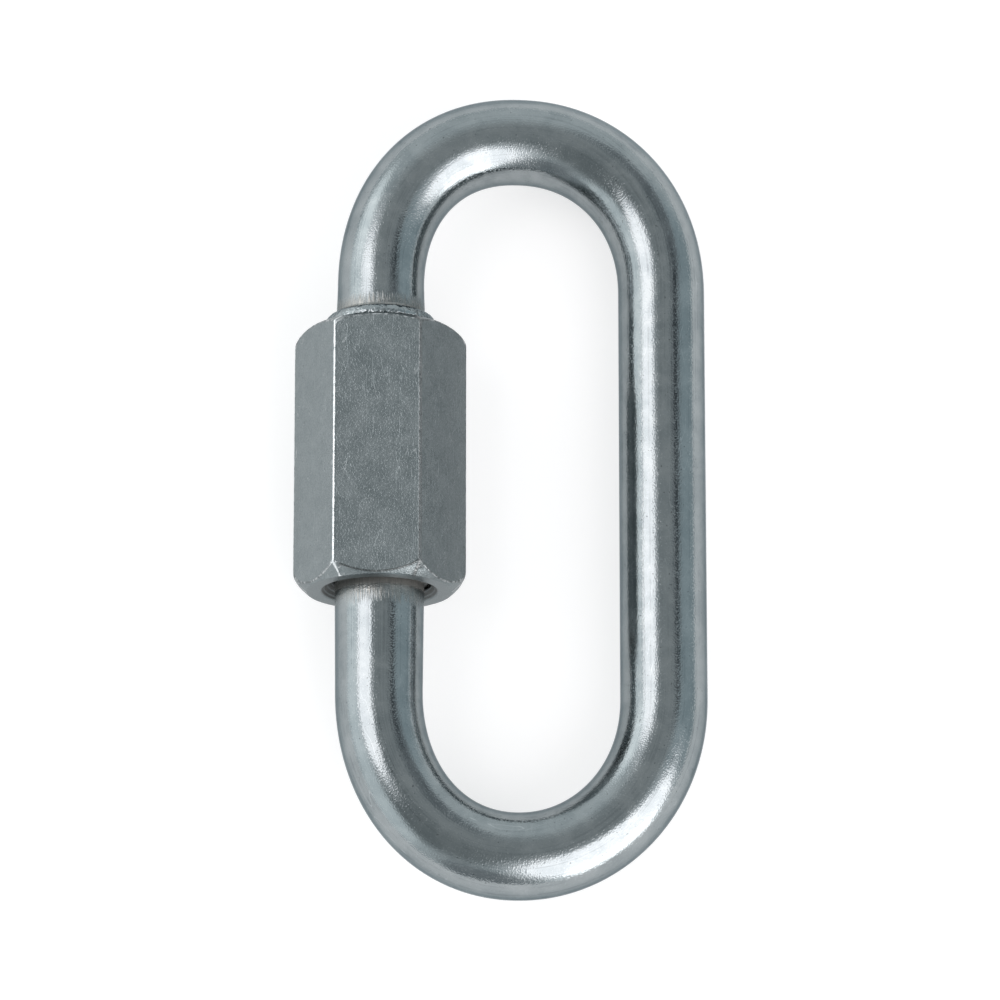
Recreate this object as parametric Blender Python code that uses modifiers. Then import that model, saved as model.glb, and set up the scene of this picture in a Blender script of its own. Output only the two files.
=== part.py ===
"""Chain quick link: a bent round rod whose threaded ends are bridged by a long hexagonal sleeve nut.

The link lies as it comes to rest. One flat of the nut and the plain leg touch z = 0, the long axis
runs along Y, and the leg with the nut is on the -X side, lifted by the nut. The nut is screwed home
against the shoulder at its +Y end. It opens the link by travelling towards -Y.
"""
import math

import bmesh
import bpy
from mathutils import Matrix, Vector

MM = 0.001

# The bent rod
ROD_DIAMETER = 8.0 * MM
LEG_SPACING = 26.1 * MM         # between the centre lines of the two legs
NECK_DIAMETER = 8.18 * MM       # the rod swells a little towards its upset ends

# The bows, on the rod's centre line. Each is half a superellipse that leans towards the nut's leg
UPPER_BOW_DEPTH = 14.6 * MM     # from the legs' ends to the top of the bow
UPPER_BOW_LEAN = 0.25 * MM
UPPER_BOW_FULLNESS = 2.14       # 2 is an ellipse, and more is squarer
LOWER_BOW_DEPTH = 15.0 * MM
LOWER_BOW_LEAN = 0.5 * MM
LOWER_BOW_FULLNESS = 2.06

# The straight leg that carries the nut, stretch by stretch from its +Y end. The plain leg is as long
UPPER_PLAIN_LENGTH = 2.55 * MM
SHOULDER_HEIGHT = 1.5 * MM
UPPER_STUB_LENGTH = 4.3 * MM
GATE_OPENING = 9.5 * MM
LOWER_STUB_LENGTH = 10.4 * MM
LOWER_PLAIN_LENGTH = 10.25 * MM

# The upset ends
SHOULDER_DIAMETER = 10.15 * MM
SHOULDER_ROUNDING = 1.05 * MM
STUB_CHAMFER = 0.8 * MM
THREAD_RUNOUT = 0.8 * MM        # cone from the lower thread down to the plain rod

# The thread that both stubs share with the nut, drawn here as plain cylinders
THREAD_DIAMETER = 10.0 * MM
THREAD_PITCH = 1.5 * MM
THREAD_GAP = 0.3 * MM           # between the stub's cylinder and the nut's bore

# The sleeve nut
NUT_LENGTH = 24.7 * MM
NUT_ACROSS_FLATS = 13.75 * MM
NUT_EDGE_ROUNDING = 0.15 * MM
NUT_SEAT_GAP = 0.3 * MM
UPPER_FACE_DIAMETER = 13.15 * MM
UPPER_CHAMFER_ANGLE = math.radians(30.0)
LOWER_FACE_DIAMETER = 13.35 * MM
LOWER_CHAMFER_ANGLE = math.radians(43.0)
MOUTH_DIAMETER = 10.8 * MM
MOUTH_ANGLE = math.radians(45.0)

# Facets
ROD_SIDES = 32
BOW_STEPS = 30
SHOULDER_STEPS = 5
TURNED_STEPS = 72
EDGE_STEPS = 3

# Fixed ratios and small working distances
THREAD_FLANK_RATIO = 3 * math.sqrt(3) / 8    # major less pitch diameter, for each unit of pitch
HEXAGON_SIDES = 6
HALF_SIDE_ANGLE = math.pi / HEXAGON_SIDES
SEAT_RING_STEP = 0.02 * MM                   # between the two rings of the shoulder's flat seat
CUT_MARGIN = 1.0 * MM
SHARP_ANGLE = math.radians(28.0)
WELD_DISTANCE = 0.01 * MM

# Sizes that follow from the ones above
ROD_RADIUS = ROD_DIAMETER / 2
NECK_RADIUS = NECK_DIAMETER / 2
SHOULDER_RADIUS = SHOULDER_DIAMETER / 2
PITCH_RADIUS = (THREAD_DIAMETER - THREAD_FLANK_RATIO * THREAD_PITCH) / 2
STUB_RADIUS = PITCH_RADIUS - THREAD_GAP / 2
BORE_RADIUS = PITCH_RADIUS + THREAD_GAP / 2
LEG_LENGTH = (
    UPPER_PLAIN_LENGTH + SHOULDER_HEIGHT + UPPER_STUB_LENGTH
    + GATE_OPENING + LOWER_STUB_LENGTH + LOWER_PLAIN_LENGTH
)
UPPER_LEG_END = (LEG_LENGTH + LOWER_BOW_DEPTH - UPPER_BOW_DEPTH) / 2    # the loop is centred on Y = 0
LOWER_LEG_END = UPPER_LEG_END - LEG_LENGTH
SHOULDER_Y = UPPER_LEG_END - UPPER_PLAIN_LENGTH - SHOULDER_HEIGHT
UPPER_STUB_END = SHOULDER_Y - UPPER_STUB_LENGTH
LOWER_STUB_END = UPPER_STUB_END - GATE_OPENING
NUT_TOP = SHOULDER_Y - NUT_SEAT_GAP
NUT_CORNER_RADIUS = NUT_ACROSS_FLATS / 2 / math.cos(HALF_SIDE_ANGLE)
NUT_REACH = NUT_CORNER_RADIUS - NUT_EDGE_ROUNDING * (1 / math.cos(HALF_SIDE_ANGLE) - 1)
REST_TILT = math.asin((NUT_ACROSS_FLATS / 2 - ROD_RADIUS) / LEG_SPACING)
MIDDLE_X = (NUT_REACH - ROD_RADIUS) / 2
NUT_AXIS_X = MIDDLE_X - LEG_SPACING / 2 * math.cos(REST_TILT)
NUT_AXIS_Z = NUT_ACROSS_FLATS / 2


def clear_scene():
    """Empty the file of its objects and of the collections that held them."""
    for item in list(bpy.data.objects):
        bpy.data.objects.remove(item, do_unlink=True)
    for group in list(bpy.data.collections):
        bpy.data.collections.remove(group)


def new_collection(name):
    group = bpy.data.collections.new(name)
    bpy.context.scene.collection.children.link(group)
    return group


def steel(name, colour, roughness):
    """Zinc-plated steel as one Principled BSDF."""
    material = bpy.data.materials.new(name)
    material.use_nodes = True
    shader = material.node_tree.nodes["Principled BSDF"]
    shader.inputs["Base Color"].default_value = (*colour, 1.0)
    shader.inputs["Metallic"].default_value = 1.0
    shader.inputs["Roughness"].default_value = roughness
    material.diffuse_color = (*colour, 1.0)
    return material


def place(name, mesh, group):
    item = bpy.data.objects.new(name, mesh)
    group.objects.link(item)
    return item


def smooth(mesh):
    mesh.shade_smooth()
    mesh.set_sharp_from_angle(angle=SHARP_ANGLE)


def add_empty(name, group, location, turn_about_y=0.0):
    empty = bpy.data.objects.new(name, None)
    empty.location = location
    empty.rotation_euler = (0.0, turn_about_y, 0.0)
    empty.empty_display_size = 5 * MM
    group.objects.link(empty)
    return empty


def upper_end_stations():
    """(y, radius) up the nut's leg: chamfer, thread, shoulder with its rounding, then the neck."""
    stations = [
        (UPPER_STUB_END, STUB_RADIUS - STUB_CHAMFER),
        (UPPER_STUB_END + STUB_CHAMFER, STUB_RADIUS),
        (SHOULDER_Y - SEAT_RING_STEP, STUB_RADIUS),
        (SHOULDER_Y, SHOULDER_RADIUS),
    ]
    rise = SHOULDER_RADIUS - NECK_RADIUS
    for step in range(SHOULDER_STEPS + 1):
        angle = math.pi / 2 * step / SHOULDER_STEPS
        y = SHOULDER_Y + SHOULDER_HEIGHT - SHOULDER_ROUNDING * (1 - math.sin(angle))
        stations.append((y, NECK_RADIUS + rise * math.cos(angle)))
    return stations


def lower_end_stations():
    """(y, radius) up the nut's leg: the neck, the thread's runout, the thread and its chamfer."""
    thread_start = LOWER_STUB_END - LOWER_STUB_LENGTH
    return [
        (thread_start - THREAD_RUNOUT, NECK_RADIUS),
        (thread_start, STUB_RADIUS),
        (LOWER_STUB_END - STUB_CHAMFER, STUB_RADIUS),
        (LOWER_STUB_END, STUB_RADIUS - STUB_CHAMFER),
    ]


def filled_out(ratio, fullness):
    """Bend a sine or cosine so that an ellipse becomes a superellipse."""
    return math.copysign(abs(ratio) ** (2 / fullness), ratio)


def bow(side, leg_end, depth, lean, fullness):
    """(x, y, radius) round a bow, from one leg's end to the other. side is 1 towards +Y, else -1."""
    points = []
    for step in range(BOW_STEPS + 1):
        angle = math.pi * step / BOW_STEPS
        across = -side * LEG_SPACING / 2 * filled_out(math.cos(angle), fullness)
        rise = depth * filled_out(math.sin(angle), fullness)
        points.append((across - lean * math.sin(angle) ** 2, leg_end + side * rise, ROD_RADIUS))
    return points


def rod_path():
    """(x, y, radius) from the upper thread's end, round both bows, to the lower thread's end."""
    leg_x = -LEG_SPACING / 2
    path = [(leg_x, y, radius) for y, radius in upper_end_stations()]
    path += bow(1, UPPER_LEG_END, UPPER_BOW_DEPTH, UPPER_BOW_LEAN, UPPER_BOW_FULLNESS)
    path += bow(-1, LOWER_LEG_END, LOWER_BOW_DEPTH, LOWER_BOW_LEAN, LOWER_BOW_FULLNESS)
    path += [(leg_x, y, radius) for y, radius in lower_end_stations()]
    return path


def make_rod(group, material):
    """Sweep a circle of changing radius along the rod's path, then weld the caps."""
    curve = bpy.data.curves.new("rod_path", "CURVE")
    curve.dimensions = "3D"
    curve.bevel_depth = 1.0
    curve.bevel_resolution = (ROD_SIDES - 4) // 2
    curve.use_fill_caps = True
    path = rod_path()
    spline = curve.splines.new("POLY")
    spline.points.add(len(path) - 1)
    for point, (x, y, radius) in zip(spline.points, path):
        point.co = (x, y, 0.0, 1.0)
        point.radius = radius
    guide = place("rod_guide", curve, group)
    bpy.context.view_layer.update()
    evaluated = guide.evaluated_get(bpy.context.evaluated_depsgraph_get())
    mesh = bpy.data.meshes.new_from_object(evaluated)
    bpy.data.objects.remove(guide, do_unlink=True)
    form = bmesh.new()
    form.from_mesh(mesh)
    bmesh.ops.remove_doubles(form, verts=form.verts, dist=WELD_DISTANCE)
    bmesh.ops.recalc_face_normals(form, faces=form.faces)
    form.to_mesh(mesh)
    form.free()
    mesh.name = "bent_rod"
    smooth(mesh)
    mesh.materials.clear()
    mesh.materials.append(material)
    return place("bent_rod", mesh, group)


def turned(name, profile, group):
    """Turn a (radius, y) profile about Y. It runs from the +Y end to the -Y end, axis to axis."""
    form = bmesh.new()
    corners = [form.verts.new((radius, 0.0, y)) for radius, y in profile]
    for first, second in zip(corners, corners[1:]):
        form.edges.new((first, second))
    mesh = bpy.data.meshes.new(name)
    form.to_mesh(mesh)
    form.free()
    item = place(name, mesh, group)
    item.rotation_euler = (-math.pi / 2, 0.0, 0.0)
    screw = item.modifiers.new("turn", "SCREW")
    screw.axis = "Z"
    screw.steps = TURNED_STEPS
    screw.render_steps = TURNED_STEPS
    screw.use_merge_vertices = True
    screw.merge_threshold = WELD_DISTANCE
    return item


def as_cutter(item):
    item.hide_render = True
    item.display_type = "WIRE"
    return item


def runs_along_y(edge):
    first, second = (corner.co for corner in edge.verts)
    return abs(first.y - second.y) > NUT_LENGTH / 2


def hexagon_bar(group):
    """Hexagonal bar along Y with rounded edges and one flat facing down."""
    form = bmesh.new()
    upright = Matrix.Rotation(-math.pi / 2, 4, "X") @ Matrix.Rotation(HALF_SIDE_ANGLE, 4, "Z")
    bmesh.ops.create_cone(
        form,
        cap_ends=True,
        segments=HEXAGON_SIDES,
        radius1=NUT_CORNER_RADIUS,
        radius2=NUT_CORNER_RADIUS,
        depth=NUT_LENGTH,
        matrix=upright,
    )
    long_edges = [edge for edge in form.edges if runs_along_y(edge)]
    bmesh.ops.bevel(
        form,
        geom=long_edges,
        offset=NUT_EDGE_ROUNDING * math.tan(HALF_SIDE_ANGLE),
        offset_type="OFFSET",
        segments=EDGE_STEPS,
        profile=0.5,
        affect="EDGES",
    )
    mesh = bpy.data.meshes.new("sleeve_nut")
    form.to_mesh(mesh)
    form.free()
    return place("sleeve_nut", mesh, group)


def nut_envelope(cutters):
    """The turned body whose cones leave the arcs on the nut's flats."""
    half = NUT_LENGTH / 2
    outer = NUT_CORNER_RADIUS + CUT_MARGIN
    upper_drop = (outer - UPPER_FACE_DIAMETER / 2) * math.tan(UPPER_CHAMFER_ANGLE)
    lower_drop = (outer - LOWER_FACE_DIAMETER / 2) * math.tan(LOWER_CHAMFER_ANGLE)
    profile = [
        (0.0, half),
        (UPPER_FACE_DIAMETER / 2, half),
        (outer, half - upper_drop),
        (outer, -half + lower_drop),
        (LOWER_FACE_DIAMETER / 2, -half),
        (0.0, -half),
    ]
    return as_cutter(turned("nut_envelope", profile, cutters))


def nut_bore(cutters):
    """The bore, opened by a countersink at each end and run past both faces."""
    half = NUT_LENGTH / 2
    depth = (MOUTH_DIAMETER / 2 - BORE_RADIUS) / math.tan(MOUTH_ANGLE)
    past_radius = MOUTH_DIAMETER / 2 + CUT_MARGIN * math.tan(MOUTH_ANGLE)
    profile = [
        (0.0, half + CUT_MARGIN),
        (past_radius, half + CUT_MARGIN),
        (BORE_RADIUS, half - depth),
        (BORE_RADIUS, -half + depth),
        (past_radius, -half - CUT_MARGIN),
        (0.0, -half - CUT_MARGIN),
    ]
    return as_cutter(turned("nut_bore", profile, cutters))


def add_boolean(item, cutter, operation):
    change = item.modifiers.new(cutter.name, "BOOLEAN")
    change.operation = operation
    change.solver = "EXACT"
    change.object = cutter


def make_nut(group, cutters, material):
    """Sleeve nut with its origin on the joint's axis, at the middle of its length."""
    nut = hexagon_bar(group)
    for cutter, operation in ((nut_envelope(cutters), "INTERSECT"), (nut_bore(cutters), "DIFFERENCE")):
        cutter.parent = nut
        add_boolean(nut, cutter, operation)
    smooth(nut.data)
    nut.data.materials.append(material)
    return nut


def build():
    clear_scene()
    parts = new_collection("chain_quick_link")
    cutters = new_collection("cutters")
    rod_steel = steel("zinc_plated_rod", (0.32, 0.345, 0.355), 0.26)
    nut_steel = steel("zinc_plated_nut", (0.28, 0.305, 0.31), 0.36)

    middle_height = (NUT_AXIS_Z + ROD_RADIUS) / 2
    link_plane = add_empty("link_plane", parts, Vector((MIDDLE_X, 0.0, middle_height)), REST_TILT)
    rod = make_rod(parts, rod_steel)
    rod.parent = link_plane

    nut_axis = add_empty("nut_axis", parts, Vector((NUT_AXIS_X, NUT_TOP - NUT_LENGTH / 2, NUT_AXIS_Z)))
    nut = make_nut(parts, cutters, nut_steel)
    nut.parent = nut_axis


build()
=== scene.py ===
"""Chain quick link: the zinc-plated rod and its sleeve nut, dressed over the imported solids.

Both pieces are drawn finer than the solids, with their true M10 threads, and take their places.
Lengths are in millimetres until a mesh is made, and in metres from there on.
"""

import math

import bmesh
import bpy
import numpy as np
from mathutils import Matrix, Vector


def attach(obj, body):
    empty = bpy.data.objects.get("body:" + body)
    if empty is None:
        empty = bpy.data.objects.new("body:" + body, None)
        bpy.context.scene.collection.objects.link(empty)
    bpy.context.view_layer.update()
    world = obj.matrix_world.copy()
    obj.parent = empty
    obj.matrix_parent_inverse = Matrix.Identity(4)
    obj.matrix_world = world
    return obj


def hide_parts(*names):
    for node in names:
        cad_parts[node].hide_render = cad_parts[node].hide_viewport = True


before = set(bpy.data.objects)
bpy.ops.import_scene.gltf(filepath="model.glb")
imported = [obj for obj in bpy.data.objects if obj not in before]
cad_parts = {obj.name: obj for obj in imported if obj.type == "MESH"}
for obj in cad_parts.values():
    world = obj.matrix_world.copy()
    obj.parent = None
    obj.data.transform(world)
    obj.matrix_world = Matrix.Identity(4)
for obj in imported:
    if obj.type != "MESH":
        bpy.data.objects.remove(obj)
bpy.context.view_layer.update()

MM = 0.001
NODE_WIDTH, NODE_HEIGHT = 220.0, 260.0

# The bent rod, on the solid's sizes. Places along the link are written y, from its middle
ROD_RADIUS = 4.0
NECK_RADIUS = 4.09
LEG_SPACING = 26.1
NUT_LEG_X = -LEG_SPACING / 2
UPPER_LEG_END_Y = 19.45
LOWER_LEG_END_Y = -19.05
UPPER_BOW = (14.6, 0.25, 2.14)  # depth of the bow, its lean towards the nut's leg, and its fullness
LOWER_BOW = (15.0, 0.5, 2.06)
REST_TILT = math.radians(6.3242)
LINK_MIDDLE = Vector((1.9577, 0.0, 5.4375))
UPPER_STUB_END_Y = 11.1
LOWER_STUB_END_Y = 1.6
LOWER_MOUTH_Y = -9.6            # the neck ends here, level with the nut's lower face

# Its upset collar, which the nut is tightened against
COLLAR_RADIUS = 5.075
COLLAR_SEAT_Y = 15.4
COLLAR_TOP_Y = 16.62            # about 0.3 below the solid's, to follow the light on the real one
COLLAR_ROUNDING = 1.05
COLLAR_FOOT_RADIUS = NECK_RADIUS + 0.03
COLLAR_SQUARENESS = 0.8         # 1 rounds it to a quarter circle, and less makes it fuller
COLLAR_LOWER_RIM = ((-0.02, 4.7), (0.0, 4.93), (0.03, 5.02), (0.08, 5.06), (0.16, COLLAR_RADIUS))
CRINKLE_SIZE = 0.5
CRINKLE_DEPTH = 0.3
CRINKLE_SEED = 4.0
UPPER_GRIP = 1.6                # how far the jaws' marks reach from the collar
LOWER_GRIP = 2.4                # and from the nut's lower mouth

# The thread
PITCH = 1.5
THREAD_DEPTH = 0.8
THREAD_FLANK = (0.125, 0.4375)  # where a flank starts and ends, in pitches from the rod's root
ROD_ROOT_RADIUS = 4.05
STUB_END_RADIUS = ROD_ROOT_RADIUS - 0.5
NUT_MINOR_RADIUS = 4.2
UPPER_RUNOUT = 1.2              # how far below the collar the upper thread starts to run out
UPPER_RUNOUT_SHARE = 0.75
LOWER_RUNOUT = 0.8
LOWER_THREAD_SETBACK = 0.5      # how far inside the nut's mouth the lower thread starts

# The sleeve nut
NUT_AXIS = Vector((-11.0129, 0.0, 6.875))
NUT_MIDDLE_Y = 2.75
NUT_HALF_LENGTH = 12.35
NUT_HALF_FLATS = 6.875
HALF_SIDE = math.pi / 6         # half the angle that one of the six flats takes up
NUT_CORNER_RADIUS = NUT_HALF_FLATS / math.cos(HALF_SIDE)
NUT_EDGE_ROUNDING = 0.15
UPPER_FACE_RADIUS = 6.575
UPPER_CHAMFER = math.radians(30.0)
LOWER_FACE_RADIUS = 6.675
LOWER_CHAMFER = math.radians(43.0)
MOUTH_RADIUS = 5.4
ARC_ROUNDING = 0.09             # where a flat meets the chamfer
KNOCKED_ROUNDING = 0.66         # how much more there is at a knocked corner
KNOCK_SHARPNESS = 8
FACE_EASE = 0.1
MOUTH_EASE = 0.08
TOOL_FEED = 0.32                # between the lathe tool's rings in the countersinks

# Its wear, as the distance from an edge that each place counts as
ARC_WEAR = 0.05
MIDDLE_WEAR = 0.6               # half way over a chamfer or a face
FACE_EDGE_WEAR = 0.2
MOUTH_EDGE_WEAR = 0.15
UNWORN = 9.0
# Painted shade: the nut's long edges and the arcs where its flats meet the chamfers are darkened, each by
# its own amount
PAINTED_EDGE_SHADE = (0.85, 0.4, 0.4, 0.4, 0.4, 0.0)  # painted shade of the six long edges, from the right front one round
# painted shade along the other arcs where the flats meet the chamfers
PAINTED_ARC_SHADE = 0.5
PAINTED_FRONT_ARC_SHADE = 0.95      # painted shade on the lower arc of the flat that faces the camera
MOUTH_SHADE = 0.6              # painted shade in the bore, this strong at the faces, and 1 from 0.4 further in

# Painted shade on the neck inside the nut's lower mouth: where it starts and where it fades, from the mouth
# up
NECK_SHADE_START = (0.3, 0.8)
NECK_SHADE_END = (2.4, 1.2)
NECK_SHADE = 0.42

# How finely the surfaces are drawn
ROD_SIDES = 96
THREAD_ROW = 0.08
COLLAR_ROW = 0.1
COLLAR_STEPS = 14
UPPER_NECK_ROW = 0.2
LOWER_NECK_ROW = 0.3
BOW_ROWS = 120
LEG_ROW = 0.5
EDGE_COLUMNS = 7
FLAT_COLUMNS = 14
FLAT_INSET = 0.006              # in radians, between an edge's rounding and a flat's first column
FLAT_ROWS = 15
FLAT_REACH = 0.93
ARC_STEPS = 6
RIM_STEPS = 3


def add(tree, kind, values=(), **settings):
    """Add a node. values pairs an input's name or number with a value, or an output to link to it."""
    item = tree.nodes.new(kind)
    for name, value in settings.items():
        setattr(item, name, value)
    for key, value in dict(values).items():
        if isinstance(value, bpy.types.NodeSocket):
            tree.links.new(value, item.inputs[key])
        else:
            item.inputs[key].default_value = value
    return item


def maths(tree, operation, *terms, clamp=False):
    item = add(tree, "ShaderNodeMath", dict(enumerate(terms)), operation=operation, use_clamp=clamp)
    return item.outputs[0]


def product(tree, value, *factors):
    for factor in factors:
        value = maths(tree, "MULTIPLY", value, factor)
    return value


def added(tree, value, *parts):
    """A value plus each (part, weight)."""
    for part, weight in parts:
        value = maths(tree, "ADD", value, product(tree, part, weight))
    return value


def inverse(tree, value):
    return maths(tree, "SUBTRACT", 1.0, value)


def from_half(tree, value):
    return maths(tree, "SUBTRACT", value, 0.5)


def vector_maths(tree, operation, *terms):
    item = add(tree, "ShaderNodeVectorMath", dict(enumerate(terms)), operation=operation)
    return item.outputs["Value" if operation == "DOT_PRODUCT" else "Vector"]


def sides_of(tree, place):
    """The X, Y and Z of a place."""
    return add(tree, "ShaderNodeSeparateXYZ", {0: place}).outputs


def place_at(tree, x, y, z):
    return add(tree, "ShaderNodeCombineXYZ", {0: x, 1: y, 2: z}).outputs[0]


def ramp(tree, value, low, high, to_low=0.0, to_high=1.0, soft=True):
    """Ease a value from low to high into a new range, clamped at both ends."""
    item = add(
        tree,
        "ShaderNodeMapRange",
        {"Value": value, "From Min": low, "From Max": high, "To Min": to_low, "To Max": to_high},
        interpolation_type="SMOOTHSTEP" if soft else "LINEAR",
    )
    return item.outputs["Result"]


def noise(tree, place, size, detail=2.0, roughness=0.5, distortion=0.0):
    """Noise whose grains are about size millimetres across, or as an output says."""
    if isinstance(size, bpy.types.NodeSocket):
        scale = maths(tree, "DIVIDE", 1.0, size)
    else:
        scale = 1.0 / size
    values = {
        "Vector": place,
        "Scale": scale,
        "Detail": detail,
        "Roughness": roughness,
        "Distortion": distortion,
    }
    return add(tree, "ShaderNodeTexNoise", values).outputs["Fac"]


def blend_colour(tree, share, first, second):
    item = tree.nodes.new("ShaderNodeMix")
    item.data_type = "RGBA"
    for socket, value in zip((item.inputs[0], item.inputs[6], item.inputs[7]), (share, first, second)):
        if isinstance(value, bpy.types.NodeSocket):
            tree.links.new(value, socket)
        else:
            socket.default_value = value if isinstance(value, float) else (*value, 1.0)
    return item.outputs[2]


def new_group(name, kind, inputs, outputs):
    """A node group with named sockets. inputs and outputs pair a name with a type and a default."""
    tree = bpy.data.node_groups.new(name, kind)
    for in_out, sockets in (("INPUT", inputs), ("OUTPUT", outputs)):
        for label, (kind_of_value, default) in sockets.items():
            kind_of_socket = "NodeSocket" + kind_of_value
            socket = tree.interface.new_socket(label, in_out=in_out, socket_type=kind_of_socket)
            if default is not None:
                socket.default_value = default
    return tree, tree.nodes.new("NodeGroupInput"), tree.nodes.new("NodeGroupOutput")


def placed(tree, group, values):
    """Put a node group in a tree, with its own values or links."""
    item = tree.nodes.new(group.bl_idname.replace("NodeTree", "NodeGroup"))
    item.node_tree = group
    for key, value in values.items():
        if isinstance(value, bpy.types.NodeSocket):
            tree.links.new(value, item.inputs[key])
        else:
            item.inputs[key].default_value = value
    return item


def spread_out(tree):
    """Stand each node to the right of the nodes that feed it."""
    column = {item: 0 for item in tree.nodes}
    for _ in range(len(tree.nodes)):
        moved = False
        for link in tree.links:
            if column[link.to_node] <= column[link.from_node]:
                column[link.to_node] = column[link.from_node] + 1
                moved = True
        if not moved:
            break
    filled = {}
    for item, place in column.items():
        row = filled.get(place, 0)
        filled[place] = row + 1
        item.location = (place * NODE_WIDTH, -row * NODE_HEIGHT)


# Shapes

def thread_form_group():
    """A right-handed thread about an axis along Y: which way is out, its height, how near its root."""
    tree, given, result = new_group(
        "thread form",
        "GeometryNodeTree",
        {
            "Axis": ("Vector", None),
            "Pitch": ("Float", PITCH * MM),
            "Depth": ("Float", THREAD_DEPTH * MM),
            "Runout": ("Float", 0.0),
        },
        {"Out": ("Vector", None), "Height": ("Float", None), "Root": ("Float", None)},
    )
    position = add(tree, "GeometryNodeInputPosition").outputs[0]
    arm = vector_maths(tree, "SUBTRACT", position, given.outputs["Axis"])
    arm = vector_maths(tree, "MULTIPLY", arm, (1.0, 0.0, 1.0))
    sides = sides_of(tree, arm)
    turn = maths(tree, "DIVIDE", maths(tree, "ARCTAN2", sides["X"], sides["Z"]), 2 * math.pi)
    along = maths(tree, "DIVIDE", sides_of(tree, position)["Y"], given.outputs["Pitch"])
    phase = maths(tree, "FRACT", maths(tree, "SUBTRACT", along, turn))
    wave = maths(tree, "ABSOLUTE", from_half(tree, phase))
    form = ramp(tree, wave, *THREAD_FLANK, soft=False)
    form = maths(tree, "MAXIMUM", form, given.outputs["Runout"])
    tree.links.new(vector_maths(tree, "NORMALIZE", arm), result.inputs["Out"])
    tree.links.new(product(tree, form, given.outputs["Depth"]), result.inputs["Height"])
    tree.links.new(inverse(tree, form), result.inputs["Root"])
    spread_out(tree)
    return tree


def named(tree, name, data_type="FLOAT"):
    item = add(tree, "GeometryNodeInputNamedAttribute", {"Name": name}, data_type=data_type)
    return item.outputs["Attribute"]


def store(tree, geometry, name, value, data_type="FLOAT"):
    item = add(
        tree,
        "GeometryNodeStoreNamedAttribute",
        {"Geometry": geometry, "Name": name, "Value": value},
        data_type=data_type,
        domain="POINT",
    )
    return item.outputs["Geometry"]


def shifted(tree, geometry, out, distance):
    """Move each point of a surface along its own direction."""
    offset = add(tree, "ShaderNodeVectorMath", {0: out, "Scale": distance}, operation="SCALE").outputs[0]
    return add(tree, "GeometryNodeSetPosition", {0: geometry, "Offset": offset}).outputs[0]


def finish_tree(tree, geometry, given, result):
    whole = add(tree, "GeometryNodeRealizeInstances", {"Geometry": geometry}).outputs[0]
    finish = {"Geometry": whole, "Material": given.outputs["Finish"]}
    dressed = add(tree, "GeometryNodeSetMaterial", finish).outputs[0]
    tree.links.new(dressed, result.inputs["Geometry"])
    spread_out(tree)


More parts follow.
